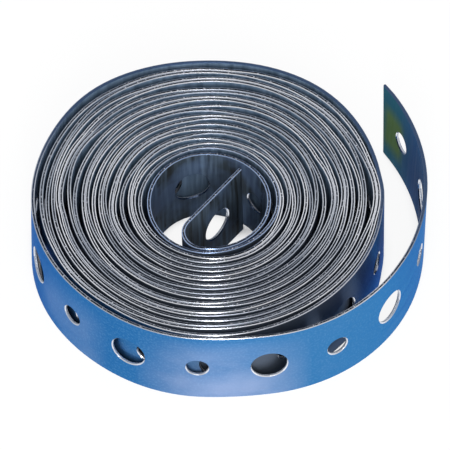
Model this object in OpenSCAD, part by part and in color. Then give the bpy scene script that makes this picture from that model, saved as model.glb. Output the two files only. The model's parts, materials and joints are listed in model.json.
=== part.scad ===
// Perforated steel strap, wound into a coil that lies flat on its side.
// The packed turns are one turned body. The last turn leaves it at the front
// and runs out into the free end, and the inner end is folded across the bore.
// The origin is on the coil's axis, on the face that it lies on. Millimetres, +Z up.

/* [Strap] */
// Width of the strap, which is the height of the coil
strap_w = 19; // [14:0.5:26]
// Thickness of the strap
strap_t = 0.7; // [0.5:0.05:1.2]

/* [Holes] */
// Diameter of the large holes
large_hole_d = 7.2; // [5:0.1:8]
// Diameter of the small holes
small_hole_d = 4.4; // [3:0.1:5]
// Distance from one hole to the next along the strap, large and small in turn
hole_pitch = 14.3; // [12:0.1:20]
// Distance from the cut free end to the middle of its first hole
end_margin = 7.2; // [6:0.1:10]

/* [Coil] */
// Diameter of the bore
bore_d = 23; // [20:0.5:40]
// Number of turns, counting the last one that leads to the free end
turns = 20; // [10:1:30]
// Gap from one turn to the next
turn_gap = 0.52; // [0.3:0.02:0.8]
// How deep the gaps are open on each face of the coil
gap_depth = 5; // [1:0.5:6]

/* [Free end] */
// Direction from the axis to the place where the last turn comes to the top
lap_angle = 60; // [40:5:90]
// Direction from the axis to the place where the free end leaves the coil
leave_angle = 268; // [240:1:280]
// How far the free end springs away: its first bend is this much wider than the coil
spring_out = 38; // [30:1:60]
// Angle of the first, wide bend
spring_out_a = 12; // [8:1:20]
// Angle of the second bend, which has the coil's own radius
follow_a = 63; // [40:1:70]
// How much wider than the coil the last bend is
tip_spread = 7; // [2:1:15]
// Angle of the last bend, up to the cut end
tip_a = 53; // [40:1:65]

/* [Inner end] */
// Direction from the axis to the place where the inner end leaves the bore's wall
fold_angle = 260; // [240:2:270]
// Radius of the fold, at the middle of the strap's thickness
fold_r = 3.5; // [2:0.1:5]
// Angle that the fold turns through
fold_a = 119; // [105:1:125]
// Gap from the cut inner end to the wall of the bore
inner_end_gap = 1.6; // [1:0.2:4]
// Distance from the cut inner end to the middle of its first hole
inner_margin = 8.2; // [6:0.1:10]

/* [Hidden] */
// Length of one flat facet on the bent strap
facet = 1.5;
// How far a strap end is sunk into the turn that it grows out of
sunk = 0.1;
// Angle over which the last turn comes up from the turn below it
lap_a = 60;
// Facets of a hole and of the coil
hole_facets = 48;
coil_facets = 180;
// How far a cutter goes past what it cuts
clear = 1;

bore_r = bore_d / 2;
turn_pitch = strap_t + turn_gap;
packed_turns = turns - 1;
// Outer radius of the packed turns, and the middle of the last turn that lies on them
packed_r = bore_r + packed_turns * turn_pitch - turn_gap;
last_r = packed_r + turn_gap + strap_t / 2;

// A station is [x, y, heading] on the middle line of the strap. A bend is
// [radius, angle], to the left where the angle is positive, or [length, 0].
function bend_length(bend) = bend[1] == 0 ? bend[0] : bend[0] * abs(bend[1]) * PI / 180;

function route_length(bends) = [for (bend = bends) bend_length(bend)] * [for (bend = bends) 1];

function rest_of(list) = [for (i = [1:1:len(list) - 1]) list[i]];

function turned(at, r, a) =
    let (side = sign(a))
    [
        at.x + side * r * (sin(at.z + a) - sin(at.z)),
        at.y - side * r * (cos(at.z + a) - cos(at.z)),
        at.z + a
    ];

function gone_straight(at, length) = [at.x + length * cos(at.z), at.y + length * sin(at.z), at.z];

// The station at a share of a bend, from 0 to 1
function ahead(at, bend, share = 1) =
    bend[1] == 0 ? gone_straight(at, bend[0] * share) : turned(at, bend[0], bend[1] * share);

// The station at a distance along a list of bends
function station_at(at, bends, distance) =
    let (whole = bend_length(bends[0]))
    distance <= whole || len(bends) == 1
        ? ahead(at, bends[0], distance / whole)
        : station_at(ahead(at, bends[0]), rest_of(bends), distance - whole);

// All stations of a list of bends, one facet apart
function route(at, bends) =
    len(bends) == 0 ? [at] :
    let (steps = bends[0][1] == 0 ? 1 : ceil(bend_length(bends[0]) / facet))
    concat(
        [for (i = [0:steps - 1]) ahead(at, bends[0], i / steps)],
        route(ahead(at, bends[0]), rest_of(bends))
    );

function beside(stations, offset) =
    [for (at = stations) [at.x - offset * sin(at.z), at.y + offset * cos(at.z)]];

function reversed(list) = [for (i = [len(list) - 1:-1:0]) list[i]];

// Holes are counted from a cut end of the strap
function hole_distance(margin, number) = margin + number * hole_pitch;

function hole_count(margin, length) = floor((length - margin) / hole_pitch) + 1;

// How far a bend falls away from its tangent over the width of a hole
function sagitta(r, d) = r - sqrt(max(0, r * r - d * d / 4));

// The last turn: it comes up through the turn below it, lies on the coil,
// and runs out as the free end
lap_drop = strap_t + turn_gap + sunk;
lap_inset = lap_drop / (1 - cos(lap_a));
lap_bend = [last_r - lap_inset, lap_a];
lap_start_angle = lap_angle - lap_a;
lap_start = [
    lap_inset * cos(lap_angle) + lap_bend[0] * cos(lap_start_angle),
    lap_inset * sin(lap_angle) + lap_bend[0] * sin(lap_start_angle),
    lap_start_angle + 90
];
last_turn = [
    lap_bend,
    [last_r, leave_angle - lap_angle],
    [last_r + spring_out, spring_out_a],
    [last_r, follow_a],
    [last_r + tip_spread, tip_a]
];
last_turn_length = route_length(last_turn);

// The inner end: it leaves the first turn, folds back and crosses the bore
fold_start_r = bore_r + strap_t / 2 + sunk;
fold_start = [fold_start_r * cos(fold_angle), fold_start_r * sin(fold_angle), fold_angle - 90];
fold_bend = [fold_r, -fold_a];
fold_end = ahead(fold_start, fold_bend);
fold_way = [cos(fold_end.z), sin(fold_end.z)];
fold_point = [fold_end.x, fold_end.y];
cross_reach = bore_r - inner_end_gap;
cross_length = -fold_point * fold_way
    + sqrt(pow(fold_point * fold_way, 2) - fold_point * fold_point + cross_reach * cross_reach);
inner_end = [fold_bend, [cross_length, 0]];
inner_end_length = route_length(inner_end);

// A straight or bent length of strap, standing on its edge
module strip(stations) {
    linear_extrude(strap_w)
        polygon(concat(beside(stations, strap_t / 2), reversed(beside(stations, -strap_t / 2))));
}

// A punch across the strap, which reaches deeper on the right where the strap bends that way
module punch(at, d, deeper = 0) {
    depth = strap_t + turn_gap;
    translate([at.x, at.y, strap_w / 2])
        rotate([90, 0, at.z])
            translate([0, 0, -depth / 2])
                cylinder(d = d, h = depth + deeper, $fn = hole_facets);
}

// The packed turns as one turned body, with the gaps between them open on both faces
module packed_coil() {
    comb = [[0, 0], [0, 1], [strap_t, 1], [strap_t, 0]];
    bottom = [
        for (turn = [0:packed_turns - 1], corner = comb)
            [bore_r + turn * turn_pitch + corner.x, gap_depth * (1 - corner.y)]
    ];
    top = [for (corner = reversed(bottom)) [corner.x, strap_w - corner.y]];
    rotate_extrude($fn = coil_facets) polygon(concat(bottom, top));
}

module last_turn_and_free_end() {
    difference() {
        strip(route(lap_start, last_turn));
        // the start of the turn stays inside the thickness of the turn below it
        translate([0, 0, -clear])
            cylinder(r = packed_r - strap_t / 2, h = strap_w + 2 * clear, $fn = coil_facets);
    }
}

module folded_inner_end() {
    intersection() {
        strip(route(fold_start, inner_end));
        cylinder(r = bore_r + strap_t / 2, h = strap_w, $fn = coil_facets);
    }
}

// Holes of the last turn and free end, small first, and of the turn that shows behind the free end
module outer_holes() {
    behind_length = packed_r * (lap_start_angle + 360 - leave_angle) * PI / 180;
    for (number = [0:hole_count(end_margin, last_turn_length + behind_length) - 1]) {
        from_lap = last_turn_length - hole_distance(end_margin, number);
        behind_at = lap_start_angle + from_lap / packed_r * 180 / PI;
        behind_r = packed_r - strap_t / 2;
        at = from_lap > 0
            ? station_at(lap_start, last_turn, from_lap)
            : [behind_r * cos(behind_at), behind_r * sin(behind_at), behind_at + 90];
        punch(at, number % 2 == 0 ? small_hole_d : large_hole_d);
    }
}

// Holes of the inner end, large first, and of the first turn round the bore
module inner_holes() {
    first_r = bore_r + strap_t / 2;
    first_turn_length = 2 * PI * first_r - hole_pitch;
    for (number = [0:hole_count(inner_margin, inner_end_length + first_turn_length) - 1]) {
        from_fold = inner_end_length - hole_distance(inner_margin, number);
        wall_at = fold_angle - from_fold / first_r * 180 / PI;
        on_wall = from_fold < 0;
        at = on_wall
            ? [first_r * cos(wall_at), first_r * sin(wall_at), wall_at - 90]
            : station_at(fold_start, inner_end, from_fold);
        d = number % 2 == 0 ? large_hole_d : small_hole_d;
        punch(at, d, sagitta(on_wall ? first_r : fold_r, d));
    }
}

module strap() {
    color("#3d76b8")
        difference() {
            union() {
                packed_coil();
                last_turn_and_free_end();
                folded_inner_end();
            }
            outer_holes();
            inner_holes();
        }
}

strap();
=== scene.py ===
"""Perforated steel strap: one long punched strip, wound into a roll that lies flat."""

import json
import math

import bpy
from bpy.props import FloatProperty, FloatVectorProperty, IntProperty, PointerProperty
from bpy.types import NodeSocket, Operator, Panel, PropertyGroup
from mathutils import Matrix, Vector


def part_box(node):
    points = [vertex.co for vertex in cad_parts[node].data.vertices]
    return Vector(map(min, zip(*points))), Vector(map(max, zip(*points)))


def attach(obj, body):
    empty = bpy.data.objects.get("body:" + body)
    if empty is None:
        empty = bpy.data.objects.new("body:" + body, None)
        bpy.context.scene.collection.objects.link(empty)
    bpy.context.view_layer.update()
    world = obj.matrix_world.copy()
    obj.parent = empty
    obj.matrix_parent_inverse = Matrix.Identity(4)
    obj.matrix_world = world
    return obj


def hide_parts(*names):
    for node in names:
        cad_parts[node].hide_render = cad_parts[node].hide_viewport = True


bl_info = {
    "name": "Perforated Strap Roll",
    "version": (1, 0, 0),
    "blender": (4, 5, 0),
    "location": "View3D > Sidebar > Strap",
    "description": "Punches a flat steel strap and winds it into a roll with a loose outer end",
    "category": "Mesh",
}

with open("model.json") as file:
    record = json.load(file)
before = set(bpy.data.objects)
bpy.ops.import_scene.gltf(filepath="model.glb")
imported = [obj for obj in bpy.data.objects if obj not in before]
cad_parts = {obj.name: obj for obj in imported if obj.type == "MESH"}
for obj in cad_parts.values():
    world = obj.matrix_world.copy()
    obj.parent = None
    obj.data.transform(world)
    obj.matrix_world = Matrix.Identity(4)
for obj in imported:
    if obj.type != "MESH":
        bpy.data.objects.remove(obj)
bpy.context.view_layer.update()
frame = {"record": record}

MM = 0.001
FULL_TURN = 2 * math.pi
NODE = "strap"
MOUNTS = {mount["name"]: mount for mount in frame["record"]["mounts"]}
SMALL_HOLE = "free_end_hole_1_small"
LARGE_HOLE = "free_end_hole_2_large"
STRAP_LOW, STRAP_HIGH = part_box(NODE)

# Sides of one hole's field of metal: the border and the hole get the same number of corners
SIDE_CUTS = 7
HOLE_CORNERS = 4 * (SIDE_CUTS + 1)
# Points of the wound route in one turn, and the distance of its points on the two ends
TURN_STEPS = 240
END_SPACING = 0.5 * MM
# Extra cuts across the strap over the tight fold
FOLD_CUTS = 12
# Vertices nearer than this are one vertex
MERGE = 0.01 * MM
# Slots of the strap's own materials
OUTER_FACE, INNER_FACE, SLIT_EDGE, CORNER, HOLE_WALL = range(5)
# Sockets of a Mix node that mixes colours
MIX_FACTOR, MIX_A, MIX_B, MIX_RESULT = 0, 6, 7, 2
# Detail of the noise patterns
FINE_DETAIL = 2.0
MARK_DETAIL = 3.0
CLOUD_DETAIL = 4.0
# Starts of the noise patterns, so that no two of them lie on each other
BARE_START = 1.7
STROKE_START = 2.9
BLOOM_START = 3.7
POLISH_START = 5.3
SMOKE_START = 6.1
# Parts of the noise patterns over which a mark goes from nothing to its full strength
FAINT_MARKS = (0.3, 0.7)
CLEAR_MARKS = (0.4, 0.6)
BROKEN_MARKS = (0.2, 0.6)
BLOOM_MARKS = (0.55, 0.75)
SPECK_MARKS = (0.5, 0.7)
PIT_MARKS = (0.5, 0.35)
GLINT_MARKS = (0.66, 0.74)
# Changes of the roughness from the dark marks to the light ones
SATIN_MARKS = (-0.04, 0.06)
MATT_MARKS = (-0.08, 0.05)
DULL_CORNER = 0.15
# Strength of the relief of fine marks and of torn grain
MARK_RELIEF = 0.3
TORN_RELIEF = 0.6
# The film of the inner end fades out from its reach to this many times its reach
INNER_FADE = 1.5
# The teal film is full from the cut to its reach divided by this
TEAL_PART = 3
# Rays that feel for the nooks of the floor
NOOK_SAMPLES = 8
# Faces that meet at less than this angle are shaded as one
SMOOTH_ANGLE = math.radians(30)
# Share of a full turn by which a brushed highlight is turned, so that it stands across the strap
ACROSS = 0.25

# Power by which the first turn climbs: it keeps to the bore and steps onto itself towards its end
SNUG = 3
# Share of the first turn over which it leans in at its foot
LEAN_HOLD = 0.6
# Waves by which the winding wanders: their number in one turn and their start
WANDER = (
    (2.53, 0.6),
    (1.41, 2.1),
    (3.37, 4.0),
)
# Slack places between two turns: the turn, the direction in degrees, how far round they reach
# in degrees and how wide they open in millimetres
SLACK_PLACES = (
    (1.0, 85, 40, 0.5),
    (17.0, 2, 18, 1.3),
    (10.0, 6, 24, 1.1),
    (12.8, 14, 20, 0.7),
    (15.0, 4, 20, 0.7),
    (13.3, 156, 20, 1.3),
    (15.0, 181, 14, 0.9),
    (7.0, 75, 30, 0.8),
    (11.5, 100, 35, 0.9),
    (15.6, 85, 35, 0.9),
    (5.5, 195, 25, 0.8),
    (8.5, 235, 25, 0.7),
    (17.5, 215, 25, 0.8),
)
# Places where the outer turns bulge or are pressed in: the direction in degrees, how far round
# they reach in degrees and how far they stand out in millimetres
BULGES = (
    (47, 22, 0.6),
    (90, 18, -0.45),
    (131, 18, 0.65),
    (228, 24, -0.45),
    (350, 30, 0.35),
)
# Painted highlight at the front of the outer face, drawn as milky places broken by noise: the distance
# from the free end and how far they reach, in millimetres, and how strong they are
PAINTED_HIGHLIGHT_PLACES = (
    (88, 18, 0.6),
    (124, 12, 0.3),
)
# Lengths of the edges that kept their film: the distance from the free end and how far they reach,
# in millimetres
FILMED_STRETCHES = (
    (10, 40),
    (210, 80),
)


def linear(hex_colour):
    """sRGB hex value to the linear colour that the shaders take."""
    channels = [int(hex_colour[i:i + 2], 16) / 255 for i in (1, 3, 5)]
    return tuple(c / 12.92 if c <= 0.04045 else ((c + 0.055) / 1.055) ** 2.4 for c in channels) + (1.0,)


def hole_size(mount_name, size):
    """One size of a stated hole, in metres."""
    return MOUNTS[mount_name]["dims"][size] * MM


def length_prop(name, description, default):
    return FloatProperty(name=name, description=description, default=default,
                         subtype="DISTANCE", unit="LENGTH")


def angle_prop(name, description, degrees):
    return FloatProperty(name=name, description=description, default=math.radians(degrees),
                         subtype="ANGLE", unit="ROTATION")


def share_prop(name, description, default):
    return FloatProperty(name=name, description=description, default=default,
                         subtype="FACTOR", min=0.0, max=1.0)


def power_prop(name, description, default):
    return FloatProperty(name=name, description=description, default=default,
                         subtype="POWER", unit="POWER", min=0.0)


def place_prop(name, description, default):
    return FloatVectorProperty(name=name, description=description, default=default,
                               size=len(default), subtype="XYZ", unit="LENGTH")


def colour_prop(name, description, hex_colour):
    return FloatVectorProperty(name=name, description=description, default=linear(hex_colour),
                               size=4, subtype="COLOR", min=0.0, max=1.0)


class StrapSection(PropertyGroup):
    """The flat strap before it is wound."""

    width: length_prop("Width", "Width of the strap", STRAP_HIGH[2] - STRAP_LOW[2])
    thickness: length_prop("Thickness", "Thickness of the steel", hole_size(SMALL_HOLE, "length_mm"))
    large_hole: length_prop("Large hole", "Radius of the large holes", hole_size(LARGE_HOLE, "r_mm"))
    small_hole: length_prop("Small hole", "Radius of the small holes", hole_size(SMALL_HOLE, "r_mm"))
    hole_pitch: length_prop("Hole pitch", "Distance from one hole to the next", 14.3 * MM)
    inner_margin: length_prop("Inner margin", "Distance from the cut inner end to its first hole", 8.2 * MM)
    edge_break: length_prop("Edge break", "Width of the worn corners along the slit edges", 0.17 * MM)
    edge_depth: length_prop("Edge depth", "How far the slit edges' corners reach down the faces", 0.1 * MM)
    hole_break: length_prop("Hole break", "Width of the worn corners round the holes", 0.19 * MM)
    cut_slant: angle_prop("Cut slant", "How far the cut of the free end is off square", -6)
    cut_slack: length_prop("Cut slack", "Length at each end that belongs to the cut", 1.5 * MM)


class RollShape(PropertyGroup):
    """How the strap is wound."""

    bore_radius: length_prop("Bore radius", "Inner radius of the first turn", 11.5 * MM)
    roll_radius: length_prop("Roll radius", "Middle of the last turn", 35.03 * MM)
    turns: IntProperty(name="Turns", description="Number of turns", default=20, min=4)
    bore_shift: place_prop("Bore shift", "How far the first turn sits off the axis", (0.3 * MM, -0.7 * MM))
    outer_shift: place_prop("Outer shift", "How far the outer packed turns sit off the axis",
                            (0.2 * MM, -0.1 * MM))
    bore_lean: angle_prop("Bore lean", "How far the first turn and the inner end lean", 1.6)
    last_gap: length_prop("Last gap", "Step from the packed turns to the last one, at the front", 1.18 * MM)
    rise_start: share_prop("Rise start", "Share of the last turn after which it springs off", 0.24)
    rise_end: share_prop("Rise end", "Share of the last turn after which it has its own radius", 0.42)
    waviness: length_prop("Waviness", "How far the turns wander from an even winding", 0.12 * MM)
    loose_side: angle_prop("Loose side", "Direction in which the turns wander most", 90)
    loose_reach: angle_prop("Loose reach", "How far round the loose side reaches", 55)
    looseness: FloatProperty(name="Looseness", default=1.0,
                             description="How much more the turns wander on the loose side")
    least_gap: length_prop("Least gap", "Gap that is left where two turns touch", 0.05 * MM)
    leave_angle: angle_prop("Leave angle", "Where the free end leaves the roll", 268)
    fold_angle: angle_prop("Fold angle", "Where the inner end leaves the bore", 263)
    fold_radius: length_prop("Fold radius", "Radius of the fold in the inner end", 3.5 * MM)
    fold_sweep: angle_prop("Fold sweep", "Angle of the fold", 120)
    tip_gap: length_prop("Tip gap", "Gap from the cut inner end to the bore", 1.3 * MM)
    spring_out: length_prop("Spring out", "How much wider than the roll the first bend is", 38 * MM)
    spring_sweep: angle_prop("Spring sweep", "Angle of the first bend", 11.2)
    follow_sweep: angle_prop("Follow sweep", "Angle of the second bend", 63.8)
    tip_spread: length_prop("Tip spread", "How much wider than the roll the last bend is", 7 * MM)
    tip_sweep: angle_prop("Tip sweep", "Angle of the last bend", 53)
    tip_lean: angle_prop("Tip lean", "How far the free end leans out at its cut", 4)


class StrapFinish(PropertyGroup):
    """Colours of the strap and the sizes of its surface marks."""

    blue_zinc: colour_prop("Blue zinc", "Outer face, blue passivated", "#3374B0")
    blue_zinc_light: colour_prop("Light blue zinc", "Lighter rolling marks of the outer face", "#3A7CB8")
    # painted light: the outer face is made paler near the free end, standing in for the brighter light on it
    painted_lit_blue: colour_prop("Pale blue zinc", "Outer face near the free end, with a thinner film",
                                "#5AA0D6")
    blue_speck: colour_prop("Blue speck", "Fine pale specks of the outer face", "#6CA2D0")
    blue_glance: colour_prop("Blue glance", "Outer face seen along its surface", "#4F87CA")
    # painted shade: grey put on the outer face between the packed turns and behind the free end, where little
    # light reaches
    painted_gap_shade: colour_prop("Gap shade", "Outer face between the turns, dull with oil", "#666B72")
    # the bloom colour serves both scattered milky wear and the painted highlight at the front
    lavender_bloom_and_highlight: colour_prop("Bloom", "Rubbed, milky places of the outer face", "#B4C2E4")
    grey_zinc: colour_prop("Grey zinc", "Inner face, thinly passivated", "#5A7088")
    grey_zinc_light: colour_prop("Light grey zinc", "Lighter streaks of the inner face", "#7890AA")
    # painted shade: the inner face in the bore is darkened, standing in for the bore's shade; the clouds are
    # random darker tone
    painted_bore_shade: colour_prop("Bore shade", "Inner face of the first turn and of the inner end", "#465670")
    smoky_film: colour_prop("Smoky film", "Darker clouds in the dark film", "#2E3336")
    slate_glance: colour_prop("Slate glance", "Inner face seen along its surface", "#3C5478")
    # painted reflection: teal, olive and navy on the free end's inner face stand in for the dark and green
    # things it mirrors
    painted_teal_reflection: colour_prop("Teal reflection", "Inner face's film near the cut of the free end", "#2E6474")
    painted_olive_reflection: colour_prop("Olive reflection", "Yellow-green place in the teal film", "#607A4A")
    painted_navy_reflection: colour_prop("Navy reflection", "Blue places of the inner face's film", "#2C5884")
    slit_dull: colour_prop("Slit dull", "Lengths of the slit edges that kept some zinc", "#2C323C")
    slit_bright: colour_prop("Slit bright", "Lengths of the slit edges that are bare", "#5E6470")
    slit_filmed: colour_prop("Slit filmed", "Lengths of the edges that kept all their film", "#465A7A")
    slit_torn: colour_prop("Slit torn", "Dark pits of the torn grain", "#16191D")
    corner_dull: colour_prop("Corner dull", "Dull lengths of the rubbed corners", "#B8C0CE")
    corner_bright: colour_prop("Corner bright", "Polished lengths of the rubbed corners", "#F4F7FF")
    corner_filmed: colour_prop("Corner filmed", "Corners of the first turn and the inner end", "#9CB0D4")
    punched: colour_prop("Punched", "Walls of the punched holes", "#E2E6EC")
    mill_length: length_prop("Mill mark length", "Length of one rolling mark", 30 * MM)
    mill_width: length_prop("Mill mark width", "Width of one rolling mark", 0.6 * MM)
    bloom_length: length_prop("Bloom length", "Length of one rubbed place", 24 * MM)
    bloom_width: length_prop("Bloom width", "Width of one rubbed place", 14 * MM)
    # The specks and the shear marks are drawn coarser than real ones, so that they show
    dot_size: length_prop("Dot size", "Size of one fine speck on the outer face", 0.5 * MM)
    grain_size: length_prop("Grain size", "Size of one shear mark on the slit edges", 0.35 * MM)
    # painted light: reach of the paler outer face at the free end
    pale_reach: length_prop("Pale reach", "How far the thinner film reaches from the free end", 100 * MM)
    # painted shade: place and reach of the grey behind the free end, and where the grey between the turns
    # starts and is full
    end_shade_place: length_prop("Shade place", "Distance from the free end to an oily place", 292 * MM)
    end_shade_reach: length_prop("Shade place reach", "How far the oily place reaches both ways", 28 * MM)
    gap_shade_start: length_prop("Gap shade start", "Distance from the free end at which the oil film starts", 320 * MM)
    gap_shade_end: length_prop("Gap shade end", "Distance from the free end at which the oil film is full", 400 * MM)
    # painted shade: reach of the darkened inner face in the bore
    dark_reach: length_prop("Dark reach", "How far the dark film reaches from the inner end", 110 * MM)
    # painted reflection: reaches and places of the navy, teal and olive on the free end's inner face
    navy_reach: length_prop("Navy reach", "How far the navy film reaches from the free end", 70 * MM)
    teal_reach: length_prop("Teal reach", "How far the teal film reaches from the free end", 13 * MM)
    olive_place: length_prop("Olive place", "Distance from the free end to the olive place", 4 * MM)
    olive_reach: length_prop("Olive reach", "How far the olive place reaches along the strap", 4.5 * MM)
    olive_height: length_prop("Olive height", "How far the olive place reaches across the strap", 7 * MM)
    # painted shade: the inner end is darkened further, all over and in random clouds
    smoky_reach: length_prop("Smoky reach", "Length of the inner end that is smoky all over", 22 * MM)
    cloud_size: length_prop("Cloud size", "Size of one dark cloud in the inner face's film", 9 * MM)
    streak_length: length_prop("Streak length", "Size of one streak along the strap", 1.2 * MM)
    streak_height: length_prop("Streak height", "Size of one streak across the strap", 16 * MM)
    polish_length: length_prop("Polish length", "Length of one bright part of a corner", 28 * MM)
    mark_depth: length_prop("Mark depth", "Depth of the fine marks", 0.01 * MM)
    pale_share: share_prop("Pale share", "How much paler the outer face is near the free end", 0.5)
    speck_share: share_prop("Speck share", "How strong the fine specks of the outer face are", 0.35)
    # painted shade: how far the outer face is made grey between the turns and behind the free end
    gap_shade_share: share_prop("Gap shade strength", "How much the oil dulls the outer face", 0.9)
    bloom_share: share_prop("Bloom share", "How strong the scattered milky places are", 0.08)
    brushed: share_prop("Brushed", "How far rolling marks draw out highlights across the strap", 0.85)
    satin: share_prop("Satin", "Roughness of the outer face", 0.36)
    matt: share_prop("Matt", "Roughness of the inner face", 0.5)
    smoky_share: share_prop("Smoky share", "How much more of the inner end is smoky", 0.12)
    film_wear: share_prop("Film wear", "How much of the dark film the streaks have left", 0.6)
    film_shine: share_prop("Film shine", "How much the inner face's film mirrors by itself", 0.1)
    zinc_metal: share_prop("Zinc metal", "How metallic the outer face looks under its film", 0.9)
    film_metal: share_prop("Film metal", "How metallic the inner face looks under its film", 0.4)
    torn: share_prop("Torn", "Roughness of the slit edges", 0.5)
    polished: share_prop("Polished", "Roughness of the rubbed corners", 0.16)
    sheared: share_prop("Sheared", "Roughness of the punched walls", 0.6)


class StageSettings(PropertyGroup):
    """Floor, light and camera."""

    floor_colour: colour_prop("Floor", "Colour of the floor", "#FAFAFA")
    floor_size: length_prop("Floor size", "Side of the floor", 4.0)
    floor_glow: share_prop("Floor glow", "Share of plain white in the floor as it is seen", 0.9)
    nook_size: length_prop("Nook size", "Width of the nooks in which the floor stays dark", 4.5 * MM)
    nook_dark: share_prop("Nook dark", "Open share of the sky below which a nook is dark", 0.25)
    nook_light: share_prop("Nook light", "Open share of the sky above which a nook is light", 0.55)
    wall_light: share_prop("Wall light", "Strength of the light from the height of the floor", 1.0)
    ceiling_light: share_prop("Ceiling light", "Strength of the light from straight above", 0.65)
    front_light: share_prop("Front light", "Share of the room's light that is left in front", 0.75)
    lamp_place: place_prop("Lamp place", "Where the two lamps stand", (0.015, -0.57, 0.48))
    key_size: length_prop("Key size", "Side of the key lamp", 0.5)
    key_power: power_prop("Key power", "Power of the key lamp", 3.2)
    strip_width: length_prop("Strip width", "Width of the strip lamp, whose glint shows on the metal", 0.07)
    strip_height: length_prop("Strip height", "Height of the strip lamp", 0.7)
    strip_power: power_prop("Strip power", "Power of the strip lamp", 2.0)
    camera_target: place_prop("Target", "Point that the camera looks at", (3.3 * MM, 4.94 * MM, 3.81 * MM))
    camera_elevation: angle_prop("Elevation", "Height of the camera above the floor plane", 52.4)
    camera_distance: length_prop("Distance", "Distance from the camera to the roll", 3.5)
    view_width: length_prop("View width", "Width of the picture at the roll", 90 * MM)


def turned(pose, radius, sweep):
    """The pose after a bend; a positive sweep turns to the left."""
    x, y, heading = pose
    side = math.copysign(1, sweep)
    end = heading + sweep
    return (x + side * radius * (math.sin(end) - math.sin(heading)),
            y - side * radius * (math.cos(end) - math.cos(heading)), end)


def bend_poses(pose, radius, sweep):
    """Poses along one bend, without its first one."""
    count = max(2, math.ceil(abs(sweep) * radius / END_SPACING))
    return [turned(pose, radius, sweep * i / count) for i in range(1, count + 1)]


def smooth_step(value):
    """0 below 0, 1 above 1 and an even change between them."""
    share = min(1.0, max(0.0, value))
    return share * share * (3 - 2 * share)


def bump(distance, reach):
    """1 at no distance, falling to nearly 0 at twice the reach."""
    return math.exp(-(distance / reach) ** 2)


def bulge_at(angle):
    """How far the outer turns stand out in one direction."""
    total = 0.0
    for direction, reach, height in BULGES:
        off = (math.degrees(angle) - direction + 180) % 360 - 180
        total += height * MM * bump(off, reach)
    return total


def slack_at(angle, fold_angle):
    """How far the winding opens at one angle, counted on from the fold."""
    total = 0.0
    for turn, direction, reach, width in SLACK_PLACES:
        start = math.degrees(fold_angle) + turn * 360
        place = direction + 360 * round((start - direction) / 360)
        total += width * MM * bump(math.degrees(angle) - place, reach)
    return total


def wound_radii(section, shape):
    """Radii of the strap's upper edge, step by step from the fold to the leave angle, and a step's angle."""
    sweep = FULL_TURN * shape.turns + shape.leave_angle - shape.fold_angle
    steps = round(sweep / FULL_TURN * TURN_STEPS)
    packed_steps = steps - TURN_STEPS
    first_radius = shape.bore_radius + section.thickness / 2
    packed_end = shape.roll_radius - shape.last_gap + shape.outer_shift[1]
    climb = (packed_end - first_radius) / packed_steps
    radii = []
    for i in range(steps + 1):
        angle = shape.fold_angle + i * sweep / steps
        share = min(1.0, i / packed_steps)
        ease = min(1.0, i / TURN_STEPS, (steps - i) / TURN_STEPS)
        bulge = bulge_at(angle)
        shift_x, shift_y = (inner + (outer - inner) * share
                            for inner, outer in zip(shape.bore_shift, shape.outer_shift))
        wander = sum(math.sin(waves * angle + start) for waves, start in WANDER)
        off_side = (angle - shape.loose_side + math.pi) % FULL_TURN - math.pi
        wander *= 1 + shape.looseness * bump(off_side, shape.loose_reach)
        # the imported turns, from the bore to the turn below the last one
        packed = first_radius + climb * i * min(1.0, i / TURN_STEPS) ** SNUG
        packed += shift_x * math.cos(angle) + shift_y * math.sin(angle)
        packed += bulge * share * share + shape.waviness * wander * ease
        # the last turn springs off them to a radius of its own
        last = (i - packed_steps) / TURN_STEPS
        risen = smooth_step((last - shape.rise_start) / (shape.rise_end - shape.rise_start))
        radius = packed + (shape.roll_radius + bulge - packed) * risen
        # no turn cuts into the one below it, and the slack places stay open
        if i >= TURN_STEPS:
            below = radii[i - TURN_STEPS] + section.thickness + shape.least_gap
            radius = max(radius, below + slack_at(angle, shape.fold_angle))
        radii.append(radius)
    return radii, sweep / steps


def wound_turns(section, shape):
    """Points and leans of the strap's foot line from the fold to the leave angle."""
    radii, step = wound_radii(section, shape)
    points, leans = [], []
    for i, radius in enumerate(radii):
        lean = shape.bore_lean * (1 - smooth_step((i / TURN_STEPS - LEAN_HOLD) / (1 - LEAN_HOLD)))
        foot = radius - section.width * math.sin(lean)
        angle = shape.fold_angle + i * step
        points.append((foot * math.cos(angle), foot * math.sin(angle)))
        leans.append(lean)
    return points, leans


def folded_end(shape, first, second):
    """Poses from the start of the winding through the fold to the inner cut, and its straight length."""
    start = (*first, math.atan2(first[1] - second[1], first[0] - second[0]))
    poses = bend_poses(start, shape.fold_radius, -shape.fold_sweep)
    x, y, heading = poses[-1]
    off_x, off_y = x - shape.bore_shift[0], y - shape.bore_shift[1]
    along = off_x * math.cos(heading) + off_y * math.sin(heading)
    reach = shape.bore_radius - shape.tip_gap
    straight = -along + math.sqrt(along * along - off_x * off_x - off_y * off_y + reach * reach)
    poses.append((x + straight * math.cos(heading), y + straight * math.sin(heading), heading))
    return poses, straight


def sprung_end(shape, last):
    """Poses of the free end, from the leave angle to its cut."""
    poses = []
    pose = (*last, shape.leave_angle + math.pi / 2)
    for radius, sweep in ((shape.roll_radius + shape.spring_out, shape.spring_sweep),
                          (shape.roll_radius, shape.follow_sweep),
                          (shape.roll_radius + shape.tip_spread, shape.tip_sweep)):
        poses += bend_poses(pose, radius, sweep)
        pose = poses[-1]
    return poses


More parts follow.
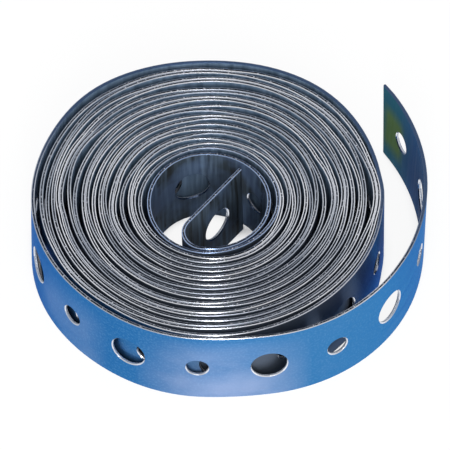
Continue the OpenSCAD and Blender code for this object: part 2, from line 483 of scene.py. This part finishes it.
def strap_route(section, shape):
    """Points of the strap's foot line from the inner cut to the outer cut, the lean at each,
    and the distances along it at which the fold starts and ends."""
    turn_points, turn_leans = wound_turns(section, shape)
    inner, straight = folded_end(shape, *turn_points[:2])
    outer = sprung_end(shape, turn_points[-1])
    points = [pose[:2] for pose in reversed(inner)] + turn_points + [pose[:2] for pose in outer]
    leans = [shape.bore_lean] * len(inner) + turn_leans
    # the free end leans out over its second half
    leans += [shape.tip_lean * max(0.0, 2 * i / len(outer) - 1) for i in range(1, len(outer) + 1)]
    return points, leans, (straight, straight + shape.fold_radius * shape.fold_sweep)


def route_length(points):
    return sum(math.dist(a, b) for a, b in zip(points, points[1:]))


def guide_curve(points, leans):
    """A curve object along the route, for the strap to be bent along."""
    curve = bpy.data.curves.new("strap_route", "CURVE")
    curve.dimensions = "3D"
    curve.twist_mode = "Z_UP"
    spline = curve.splines.new("POLY")
    spline.points.add(len(points) - 1)
    for target, (x, y), lean in zip(spline.points, points, leans):
        target.co = (x, y, 0.0, 1.0)
        target.tilt = lean
    guide = bpy.data.objects.new("strap_route", curve)
    bpy.context.collection.objects.link(guide)
    return guide


def deselect_all():
    if bpy.context.mode != "OBJECT":
        bpy.ops.object.mode_set(mode="OBJECT")
    bpy.ops.object.select_all(action="DESELECT")


def apply_modifier(piece, name, kind, **settings):
    modifier = piece.modifiers.new(name, kind)
    for key, value in settings.items():
        setattr(modifier, key, value)
    bpy.ops.object.modifier_apply(modifier=name)


def punched_field(centre_x, cell, section, radius):
    """One flat field of strap with its hole, standing on edge in the XZ plane."""
    upright = (math.pi / 2, 0.0, 0.0)
    centre = (centre_x, 0.0, section.width / 2)
    deselect_all()
    bpy.ops.mesh.primitive_plane_add(size=1.0, enter_editmode=True, location=centre, rotation=upright)
    bpy.ops.transform.resize(value=(cell, 1.0, section.width), center_override=centre)
    bpy.ops.mesh.delete(type="ONLY_FACE")
    bpy.ops.mesh.select_all(action="SELECT")
    bpy.ops.mesh.subdivide(number_cuts=SIDE_CUTS)
    bpy.ops.mesh.primitive_circle_add(vertices=HOLE_CORNERS, radius=radius, fill_type="NOTHING",
                                      location=centre, rotation=upright)
    bpy.ops.mesh.select_all(action="SELECT")
    bpy.ops.mesh.bridge_edge_loops(number_cuts=1, interpolation="LINEAR", smoothness=0.0)
    bpy.ops.object.mode_set(mode="OBJECT")
    field = bpy.context.active_object
    bpy.ops.object.transform_apply(location=True, rotation=True, scale=True)
    return field


def cut_across(start, end, count):
    """Cut the flat strap across at even steps, so that it can bend tightly there."""
    bpy.ops.object.mode_set(mode="EDIT")
    for i in range(count + 1):
        bpy.ops.mesh.select_all(action="SELECT")
        place = start + (end - start) * i / count
        bpy.ops.mesh.bisect(plane_co=(place, 0.0, 0.0), plane_no=(1.0, 0.0, 0.0))
    bpy.ops.object.mode_set(mode="OBJECT")


def feed(tree, node, inputs):
    """Give a node its inputs; each is a value or the output of another node."""
    for key, value in inputs.items():
        if isinstance(value, NodeSocket):
            tree.links.new(value, node.inputs[key])
        else:
            node.inputs[key].default_value = value


def add_node(tree, kind, inputs=None, output=0, **settings):
    """Add one node with its settings and inputs, and return one of its outputs."""
    node = tree.nodes.new(kind)
    for key, value in settings.items():
        setattr(node, key, value)
    feed(tree, node, inputs or {})
    return node.outputs[output]


def new_material(name):
    material = bpy.data.materials.new(name)
    material.use_nodes = True
    tree = material.node_tree
    return material, tree, tree.nodes["Principled BSDF"]


def strap_marks(tree, along, across, detail, start=0.0):
    """Noise on the strap's own length and width, with the size of its marks in metres."""
    flat = add_node(tree, "ShaderNodeTexCoord", output="UV")
    scaled = add_node(tree, "ShaderNodeMapping", {
        "Vector": flat, "Scale": (MM / along, MM / across, 1.0), "Location": (start, start, 0.0)})
    return add_node(tree, "ShaderNodeTexNoise", {"Vector": scaled, "Scale": 1.0, "Detail": detail},
                    noise_dimensions="2D")


def strap_place(tree, length):
    """Two outputs in millimetres: the distance from the free end, and the height above the middle."""
    flat = add_node(tree, "ShaderNodeTexCoord", output="UV")
    along = add_node(tree, "ShaderNodeSeparateXYZ", {"Vector": flat})
    to_end = add_node(tree, "ShaderNodeMath", {0: length / MM / 2, 1: along}, operation="SUBTRACT")
    return to_end, along.node.outputs["Y"]


def stretch_at(tree, value, place, reach):
    """1 round a place, falling to 0 from half of the reach to the whole of it."""
    off = add_node(tree, "ShaderNodeMath", {0: value, 1: place}, operation="SUBTRACT")
    away = add_node(tree, "ShaderNodeMath", {0: off}, operation="ABSOLUTE")
    return add_node(tree, "ShaderNodeMapRange", {
        "Value": away, "From Min": reach / 2, "From Max": reach, "To Min": 1.0, "To Max": 0.0})


def filmed_stretches(tree, to_end):
    """1 on the lengths of the edges that kept their film."""
    filmed = 0.0
    for place, reach in FILMED_STRETCHES:
        filmed = add_node(tree, "ShaderNodeMath", {0: filmed, 1: stretch_at(tree, to_end, place, reach)},
                          operation="MAXIMUM")
    return filmed


def inner_stretch(tree, to_end, length, reach):
    """1 from the inner cut to the reach, falling to 0 where the film has faded out."""
    from_cut = add_node(tree, "ShaderNodeMath", {0: length / MM, 1: to_end}, operation="SUBTRACT")
    return add_node(tree, "ShaderNodeMapRange", {
        "Value": from_cut, "From Min": reach / MM, "From Max": INNER_FADE * reach / MM,
        "To Min": 1.0, "To Max": 0.0})


def blue_passivated_zinc(finish, section, length):
    """Zinc plate with a blue passivation film: a cool satin metal with faint rolling marks and specks, paler
    near the free end as painted light, milky low down with scattered rubbing and a painted highlight at the
    front, and grey between the turns and behind the free end as painted shade."""
    material, tree, shader = new_material("blue_passivated_zinc")
    mill = strap_marks(tree, finish.mill_length, finish.mill_width, MARK_DETAIL)
    dots = strap_marks(tree, finish.dot_size, finish.dot_size, FINE_DETAIL)
    cloud = strap_marks(tree, finish.bloom_length, finish.bloom_width, CLOUD_DETAIL, BLOOM_START)
    to_end, height = strap_place(tree, length)
    top = section.width / MM / 2
    low = add_node(tree, "ShaderNodeMapRange", {
        "Value": height, "From Min": 0.0, "From Max": top, "To Min": 1.0, "To Max": 0.0})
    # painted light: the outer face is made paler near the free end, standing in for the brighter light there
    pale = add_node(tree, "ShaderNodeMapRange", {
        "Value": to_end, "From Min": finish.pale_reach / MM, "From Max": finish.pale_reach / MM / 2,
        "To Max": finish.pale_share})
    broken = add_node(tree, "ShaderNodeMapRange", {
        "Value": cloud, "From Min": BROKEN_MARKS[0], "From Max": BROKEN_MARKS[1]})
    # scattered milky wear, to which the painted highlight of the front is added below
    rubbed = add_node(tree, "ShaderNodeMapRange", {
        "Value": cloud, "From Min": BLOOM_MARKS[0], "From Max": BLOOM_MARKS[1], "To Max": finish.bloom_share})
    # painted highlight: places at the front are made milky where the light falls on them
    for place, reach, strength in PAINTED_HIGHLIGHT_PLACES:
        spot = add_node(tree, "ShaderNodeMath", {0: stretch_at(tree, to_end, place, reach), 1: strength},
                        operation="MULTIPLY")
        worn = add_node(tree, "ShaderNodeMath", {0: spot, 1: broken}, operation="MULTIPLY")
        rubbed = add_node(tree, "ShaderNodeMath", {0: rubbed, 1: worn}, operation="MAXIMUM")
    # the wear and the painted highlight fade out towards the top edge
    milky = add_node(tree, "ShaderNodeMath", {0: rubbed, 1: low}, operation="MULTIPLY")
    rolled = add_node(tree, "ShaderNodeMapRange", {
        "Value": mill, "From Min": FAINT_MARKS[0], "From Max": FAINT_MARKS[1]})
    specks = add_node(tree, "ShaderNodeMapRange", {
        "Value": dots, "From Min": SPECK_MARKS[0], "From Max": SPECK_MARKS[1], "To Max": finish.speck_share})
    # painted shade: the outer face between the packed turns and on the wall behind the free end is made grey
    packed = add_node(tree, "ShaderNodeMapRange", {
        "Value": to_end, "From Min": finish.gap_shade_start / MM, "From Max": finish.gap_shade_end / MM})
    patch = stretch_at(tree, to_end, finish.end_shade_place / MM, finish.end_shade_reach / MM)
    painted_shade_mask = add_node(tree, "ShaderNodeMath", {0: packed, 1: patch}, operation="MAXIMUM")
    oily = add_node(tree, "ShaderNodeMath", {0: painted_shade_mask, 1: finish.gap_shade_share}, operation="MULTIPLY")
    colour = finish.blue_zinc
    for share, film in ((rolled, finish.blue_zinc_light), (pale, finish.painted_lit_blue),
                        (specks, finish.blue_speck), (milky, finish.lavender_bloom_and_highlight),
                        (oily, finish.painted_gap_shade)):
        colour = add_node(tree, "ShaderNodeMix", {MIX_FACTOR: share, MIX_A: colour, MIX_B: film},
                          MIX_RESULT, data_type="RGBA")
    feed(tree, shader, {
        "Base Color": colour,
        "Metallic": finish.zinc_metal,
        "Roughness": add_node(tree, "ShaderNodeMapRange", {
            "Value": rolled, "To Min": finish.satin + SATIN_MARKS[0],
            "To Max": finish.satin + SATIN_MARKS[1]}),
        "Specular Tint": finish.blue_glance,
        "Anisotropic": finish.brushed,
        "Anisotropic Rotation": ACROSS,
        "Tangent": add_node(tree, "ShaderNodeTangent", direction_type="UV_MAP"),
        "Normal": add_node(tree, "ShaderNodeBump", {
            "Height": dots, "Distance": finish.mark_depth, "Strength": MARK_RELIEF})})
    return material


def thinly_passivated_zinc(finish, length):
    """Zinc plate with a thin film, on the inner face: slate with upright streaks, dark with random darker
    clouds in the bore as painted shade, and navy on the free end, teal and olive near its cut as painted
    reflections."""
    material, tree, shader = new_material("thinly_passivated_zinc")
    streak = strap_marks(tree, finish.streak_length, finish.streak_height, MARK_DETAIL)
    cloud = strap_marks(tree, finish.cloud_size, finish.cloud_size, MARK_DETAIL, SMOKE_START)
    to_end, height = strap_place(tree, length)
    navy_reach = finish.navy_reach / MM
    teal_reach = finish.teal_reach / MM
    streaks = add_node(tree, "ShaderNodeMapRange", {
        "Value": streak, "From Min": FAINT_MARKS[0], "From Max": FAINT_MARKS[1]})
    filmed = add_node(tree, "ShaderNodeMapRange", {
        "Value": streaks, "To Min": 1.0, "To Max": finish.film_wear})
    # painted shade: the inner face of the first turn and the inner end is made dark, with random darker
    # clouds
    inner = add_node(tree, "ShaderNodeMath", {
        0: inner_stretch(tree, to_end, length, finish.dark_reach), 1: filmed}, operation="MULTIPLY")
    clouded = add_node(tree, "ShaderNodeMath", {
        0: inner_stretch(tree, to_end, length, finish.smoky_reach), 1: finish.smoky_share, 2: cloud},
        operation="MULTIPLY_ADD")
    smoky = add_node(tree, "ShaderNodeMapRange", {
        "Value": clouded, "From Min": CLEAR_MARKS[0], "From Max": CLEAR_MARKS[1]})
    cloudy_bore_shade = add_node(tree, "ShaderNodeMix", {
        MIX_FACTOR: smoky, MIX_A: finish.painted_bore_shade, MIX_B: finish.smoky_film}, MIX_RESULT, data_type="RGBA")
    # painted reflection: navy on the free end's inner face, teal near its cut and an olive place there
    free = add_node(tree, "ShaderNodeMapRange", {
        "Value": to_end, "From Min": navy_reach, "From Max": navy_reach / 2})
    near_cut = add_node(tree, "ShaderNodeMapRange", {
        "Value": to_end, "From Min": teal_reach, "From Max": teal_reach / TEAL_PART})
    olive = add_node(tree, "ShaderNodeMath", {
        0: stretch_at(tree, to_end, finish.olive_place / MM, finish.olive_reach / MM),
        1: stretch_at(tree, height, 0.0, finish.olive_height / MM)}, operation="MULTIPLY")
    colour = finish.grey_zinc
    for share, film in ((streaks, finish.grey_zinc_light), (inner, cloudy_bore_shade),
                        (free, finish.painted_navy_reflection), (near_cut, finish.painted_teal_reflection),
                        (olive, finish.painted_olive_reflection)):
        colour = add_node(tree, "ShaderNodeMix", {MIX_FACTOR: share, MIX_A: colour, MIX_B: film},
                          MIX_RESULT, data_type="RGBA")
    feed(tree, shader, {
        "Base Color": colour,
        "Metallic": finish.film_metal,
        "Roughness": add_node(tree, "ShaderNodeMapRange", {
            "Value": streaks, "To Min": finish.matt + MATT_MARKS[0],
            "To Max": finish.matt + MATT_MARKS[1]}),
        "Specular IOR Level": finish.film_shine,
        "Specular Tint": finish.slate_glance,
        "Anisotropic": finish.brushed,
        "Anisotropic Rotation": ACROSS,
        "Tangent": add_node(tree, "ShaderNodeTangent", direction_type="UV_MAP"),
        "Normal": add_node(tree, "ShaderNodeBump", {
            "Height": streak, "Distance": finish.mark_depth, "Strength": MARK_RELIEF})})
    return material


def slit_steel(finish, length):
    """Sheared steel edge: bare grey metal with torn grain and painted glints as bright specks in its colour,
    slate blue where its film is left.
    """
    material, tree, shader = new_material("slit_steel")
    grain = strap_marks(tree, finish.grain_size, finish.grain_size, FINE_DETAIL)
    bare = strap_marks(tree, finish.polish_length, finish.polish_length, CLOUD_DETAIL, BARE_START)
    to_end = strap_place(tree, length)[0]
    bright = add_node(tree, "ShaderNodeMapRange", {
        "Value": bare, "From Min": CLEAR_MARKS[0], "From Max": CLEAR_MARKS[1]})
    pits = add_node(tree, "ShaderNodeMapRange", {
        "Value": grain, "From Min": PIT_MARKS[0], "From Max": PIT_MARKS[1]})
    # painted glints: bright specks of the corners' bright colour put into the edge's colour
    painted_glints = add_node(tree, "ShaderNodeMapRange", {
        "Value": grain, "From Min": GLINT_MARKS[0], "From Max": GLINT_MARKS[1]})
    colour = finish.slit_dull
    for share, metal in ((bright, finish.slit_bright), (pits, finish.slit_torn),
                         (painted_glints, finish.corner_bright),
                         (filmed_stretches(tree, to_end), finish.slit_filmed)):
        colour = add_node(tree, "ShaderNodeMix", {MIX_FACTOR: share, MIX_A: colour, MIX_B: metal},
                          MIX_RESULT, data_type="RGBA")
    feed(tree, shader, {
        "Base Color": colour,
        "Metallic": 1.0,
        "Roughness": finish.torn,
        "Normal": add_node(tree, "ShaderNodeBump", {
            "Height": grain, "Distance": finish.mark_depth, "Strength": TORN_RELIEF})})
    return material


def rubbed_corner(finish, length):
    """Corner between face and edge, rubbed bright by handling: a thin line that catches the light
    on some lengths and stays dull on others."""
    material, tree, shader = new_material("rubbed_corner")
    polish = strap_marks(tree, finish.polish_length, finish.polish_length, CLOUD_DETAIL, POLISH_START)
    to_end = strap_place(tree, length)[0]
    bright = add_node(tree, "ShaderNodeMapRange", {
        "Value": polish, "From Min": CLEAR_MARKS[0], "From Max": CLEAR_MARKS[1]})
    colour = finish.corner_dull
    for share, metal in ((bright, finish.corner_bright),
                         (inner_stretch(tree, to_end, length, finish.dark_reach), finish.corner_filmed),
                         (filmed_stretches(tree, to_end), finish.slit_filmed)):
        colour = add_node(tree, "ShaderNodeMix", {MIX_FACTOR: share, MIX_A: colour, MIX_B: metal},
                          MIX_RESULT, data_type="RGBA")
    feed(tree, shader, {
        "Base Color": colour,
        "Metallic": 1.0,
        "Roughness": add_node(tree, "ShaderNodeMapRange", {
            "Value": bright, "To Min": finish.polished + DULL_CORNER, "To Max": finish.polished})})
    return material


def punched_wall(finish):
    """Wall of a punched hole: bare, light steel, dulled by the fine marks that the punch left on it."""
    material, tree, shader = new_material("punched_wall")
    stroke = strap_marks(tree, finish.grain_size, finish.grain_size, FINE_DETAIL, STROKE_START)
    smooth = add_node(tree, "ShaderNodeMapRange", {
        "Value": stroke, "From Min": FAINT_MARKS[0], "From Max": FAINT_MARKS[1]})
    feed(tree, shader, {
        "Base Color": add_node(tree, "ShaderNodeMix", {
            MIX_FACTOR: smooth, MIX_A: finish.corner_dull, MIX_B: finish.punched}, MIX_RESULT,
            data_type="RGBA"),
        "Metallic": 1.0,
        "Roughness": finish.sheared,
        "Normal": add_node(tree, "ShaderNodeBump", {
            "Height": stroke, "Distance": finish.mark_depth, "Strength": MARK_RELIEF})})
    return material


def mark_hole_walls(strap, section, length):
    """Give the walls of the holes their own slot; the slit edges and the two cuts keep theirs."""
    for polygon in strap.data.polygons:
        x, y, z = polygon.center
        inside = MERGE < z < section.width - MERGE and section.cut_slack < x < length - section.cut_slack
        if polygon.material_index == SLIT_EDGE and inside:
            polygon.material_index = HOLE_WALL


def break_corners(strap, wall, width):
    """Take a flat corner off all edges between the faces of the strap and one kind of wall."""
    bpy.ops.object.mode_set(mode="EDIT")
    bpy.ops.mesh.select_all(action="DESELECT")
    strap.active_material_index = wall
    bpy.ops.object.material_slot_select()
    bpy.ops.mesh.region_to_loop()
    bpy.ops.mesh.bevel(offset=width, segments=1, affect="EDGES", material=CORNER)
    bpy.ops.object.mode_set(mode="OBJECT")


def ease_corners(strap, section):
    """Lay the corners along the slit edges flatter, so that they take more of the edge than of the faces."""
    middle = section.width / 2
    broken = middle - section.edge_break
    bpy.ops.object.mode_set(mode="EDIT")
    bpy.ops.mesh.select_all(action="DESELECT")
    bpy.ops.object.mode_set(mode="OBJECT")
    for vertex in strap.data.vertices:
        vertex.select = abs(abs(vertex.co.z - middle) - broken) < MERGE
    bpy.ops.object.mode_set(mode="EDIT")
    bpy.ops.transform.resize(value=(1.0, 1.0, (middle - section.edge_depth) / broken),
                             center_override=(0.0, 0.0, middle))
    bpy.ops.object.mode_set(mode="OBJECT")


def trim_end(strap, section, place, further, slant):
    """Move one cut of the flat strap along it and set it at an angle."""
    bpy.ops.object.mode_set(mode="EDIT")
    bpy.ops.mesh.select_all(action="DESELECT")
    bpy.ops.object.mode_set(mode="OBJECT")
    for vertex in strap.data.vertices:
        vertex.select = abs(vertex.co.x - place) < MERGE
    bpy.ops.object.mode_set(mode="EDIT")
    bpy.ops.transform.translate(value=(further, 0.0, 0.0))
    bpy.ops.transform.rotate(value=slant, orient_axis="Y",
                             center_override=(place + further, 0.0, section.width / 2))
    bpy.ops.object.mode_set(mode="OBJECT")


def punched_strip(section, length):
    """The flat strap as a sheet of its full length: one pair of fields, repeated, with both ends cut."""
    extra = section.inner_margin - section.hole_pitch / 2
    pairs = round((length - extra) / (2 * section.hole_pitch))
    cell = (length - extra) / (2 * pairs)
    large = punched_field(extra + cell / 2, cell, section, section.large_hole)
    small = punched_field(extra + cell * 3 / 2, cell, section, section.small_hole)
    deselect_all()
    small.select_set(True)
    large.select_set(True)
    bpy.context.view_layer.objects.active = large
    bpy.ops.object.join()
    strap = bpy.context.active_object
    strap.name = "perforated_strap"
    strap.data.name = "perforated_strap"
    bpy.ops.object.mode_set(mode="EDIT")
    bpy.ops.mesh.select_all(action="SELECT")
    bpy.ops.mesh.remove_doubles(threshold=MERGE)
    bpy.ops.mesh.normals_make_consistent(inside=False)
    bpy.ops.object.mode_set(mode="OBJECT")
    if strap.data.polygons[0].normal.y > 0:
        bpy.ops.object.mode_set(mode="EDIT")
        bpy.ops.mesh.flip_normals()
        bpy.ops.object.mode_set(mode="OBJECT")
    apply_modifier(strap, "Pairs", "ARRAY", count=pairs, use_relative_offset=False,
                   use_constant_offset=True, constant_offset_displace=(2 * cell, 0.0, 0.0),
                   use_merge_vertices=True, merge_threshold=MERGE)
    trim_end(strap, section, extra, -extra, 0.0)
    trim_end(strap, section, length, 0.0, section.cut_slant)
    return strap


def unwrap():
    """Give the flat strap a UV map in millimetres, measured from its middle."""
    bpy.ops.object.mode_set(mode="EDIT")
    bpy.ops.mesh.select_all(action="SELECT")
    bpy.ops.uv.cube_project(cube_size=MM, correct_aspect=False, scale_to_bounds=False)
    bpy.ops.object.mode_set(mode="OBJECT")


class STRAP_OT_wind(Operator):
    """Punch the strap flat, give it its thickness and wind it into the roll"""

    bl_idname = "strap.wind"
    bl_label = "Wind strap"

    def execute(self, context):
        section = context.scene.strap_section
        shape = context.scene.strap_roll
        finish = context.scene.strap_finish
        points, leans, fold = strap_route(section, shape)
        length = route_length(points)
        strap = punched_strip(section, length)
        cut_across(*fold, FOLD_CUTS)
        for material in (blue_passivated_zinc(finish, section, length),
                         thinly_passivated_zinc(finish, length), slit_steel(finish, length),
                         rubbed_corner(finish, length), punched_wall(finish)):
            strap.data.materials.append(material)
        apply_modifier(strap, "Gauge", "SOLIDIFY", thickness=section.thickness, offset=0.0,
                       material_offset=INNER_FACE, material_offset_rim=SLIT_EDGE)
        mark_hole_walls(strap, section, length)
        break_corners(strap, SLIT_EDGE, section.edge_break)
        ease_corners(strap, section)
        break_corners(strap, HOLE_WALL, section.hole_break)
        unwrap()
        guide = guide_curve(points, leans)
        apply_modifier(strap, "Winding", "CURVE", object=guide, deform_axis="POS_X")
        bpy.data.objects.remove(guide)
        bpy.ops.object.shade_smooth_by_angle(angle=SMOOTH_ANGLE)
        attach(strap, "root")
        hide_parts(NODE)
        return {"FINISHED"}


def floor_card(stage):
    """White card: an even white that stays dark in narrow nooks and keeps a faint shadow."""
    material, tree, shader = new_material("floor_card")
    feed(tree, shader, {"Base Color": stage.floor_colour, "Roughness": 1.0, "Specular IOR Level": 0.0})
    rays = add_node(tree, "ShaderNodeLightPath").node.outputs
    metal = add_node(tree, "ShaderNodeMath", {0: rays["Is Glossy Ray"], 1: rays["Is Transmission Ray"]},
                     operation="MAXIMUM")
    seen = add_node(tree, "ShaderNodeMath", {0: rays["Is Camera Ray"], 1: metal}, operation="MAXIMUM")
    nook = add_node(tree, "ShaderNodeAmbientOcclusion", {"Distance": stage.nook_size}, "AO",
                    samples=NOOK_SAMPLES)
    glow = add_node(tree, "ShaderNodeMapRange", {
        "Value": nook, "From Min": stage.nook_dark, "From Max": stage.nook_light,
        "To Max": stage.floor_glow})
    share = add_node(tree, "ShaderNodeMath", {0: seen, 1: glow}, operation="MULTIPLY")
    white = add_node(tree, "ShaderNodeEmission")
    mixed = add_node(tree, "ShaderNodeMixShader", {0: share, 1: shader.outputs[0], 2: white})
    feed(tree, tree.nodes["Material Output"], {"Surface": mixed})
    return material


def studio_light(stage):
    """White room that is lighter at the height of the floor than above, and darker in front."""
    world = bpy.data.worlds.new("studio")
    world.use_nodes = True
    tree = world.node_tree
    toward = add_node(tree, "ShaderNodeTexCoord", output="Generated")
    way = add_node(tree, "ShaderNodeSeparateXYZ", {"Vector": toward}).node.outputs
    tall = add_node(tree, "ShaderNodeMapRange", {
        "Value": way["Z"], "To Min": stage.wall_light, "To Max": stage.ceiling_light})
    front = add_node(tree, "ShaderNodeMapRange", {
        "Value": way["Y"], "From Min": -1.0, "From Max": 0.0, "To Min": stage.front_light})
    light = add_node(tree, "ShaderNodeMath", {0: tall, 1: front}, operation="MULTIPLY")
    feed(tree, tree.nodes["Background"], {"Color": (1.0, 1.0, 1.0, 1.0), "Strength": light})
    return world


class STRAP_OT_stage(Operator):
    """Add the floor, the light and the camera"""

    bl_idname = "strap.stage"
    bl_label = "Set stage"

    def execute(self, context):
        stage = context.scene.strap_stage
        scene = context.scene
        scene.view_settings.view_transform = "Standard"
        deselect_all()
        bpy.ops.mesh.primitive_plane_add(size=stage.floor_size)
        floor = context.active_object
        floor.name = "floor"
        floor.data.materials.append(floor_card(stage))

        scene.world = studio_light(stage)

        for name, width, height, power in (
                ("key", stage.key_size, stage.key_size, stage.key_power),
                ("strip", stage.strip_width, stage.strip_height, stage.strip_power)):
            lamp = bpy.data.lights.new(name, "AREA")
            lamp.shape = "RECTANGLE"
            lamp.size = width
            lamp.size_y = height
            lamp.energy = power
            holder = bpy.data.objects.new(name, lamp)
            context.collection.objects.link(holder)
            holder.location = stage.lamp_place
            holder.rotation_euler = (-holder.location).to_track_quat("-Z", "Y").to_euler()
            # only the strip lamp is mirrored in the metal
            holder.visible_glossy = name == "strip"

        elevation = stage.camera_elevation
        camera = bpy.data.cameras.new("camera")
        camera.lens = camera.sensor_width * stage.camera_distance / stage.view_width
        holder = bpy.data.objects.new("camera", camera)
        context.collection.objects.link(holder)
        x, y, z = stage.camera_target
        holder.location = (x, y - stage.camera_distance * math.cos(elevation),
                           z + stage.camera_distance * math.sin(elevation))
        holder.rotation_euler = (math.pi / 2 - elevation, 0.0, 0.0)
        scene.camera = holder
        return {"FINISHED"}


class STRAP_PT_panel(Panel):
    """Lists the steps that make the roll"""

    bl_idname = "STRAP_PT_panel"
    bl_label = "Perforated Strap"
    bl_space_type = "VIEW_3D"
    bl_region_type = "UI"
    bl_category = "Strap"

    def draw(self, context):
        for group in (context.scene.strap_section, context.scene.strap_roll,
                      context.scene.strap_finish, context.scene.strap_stage):
            box = self.layout.box()
            for name in group.__annotations__:
                box.prop(group, name)
        self.layout.operator(STRAP_OT_wind.bl_idname)
        self.layout.operator(STRAP_OT_stage.bl_idname)


CLASSES = (StrapSection, RollShape, StrapFinish, StageSettings,
           STRAP_OT_wind, STRAP_OT_stage, STRAP_PT_panel)


def register():
    for cls in CLASSES:
        bpy.utils.register_class(cls)
    bpy.types.Scene.strap_section = PointerProperty(type=StrapSection)
    bpy.types.Scene.strap_roll = PointerProperty(type=RollShape)
    bpy.types.Scene.strap_finish = PointerProperty(type=StrapFinish)
    bpy.types.Scene.strap_stage = PointerProperty(type=StageSettings)


def unregister():
    del bpy.types.Scene.strap_stage
    del bpy.types.Scene.strap_finish
    del bpy.types.Scene.strap_roll
    del bpy.types.Scene.strap_section
    for cls in reversed(CLASSES):
        bpy.utils.unregister_class(cls)


def main():
    register()
    bpy.ops.strap.stage()
    bpy.ops.strap.wind()


if __name__ == "__main__":
    main()
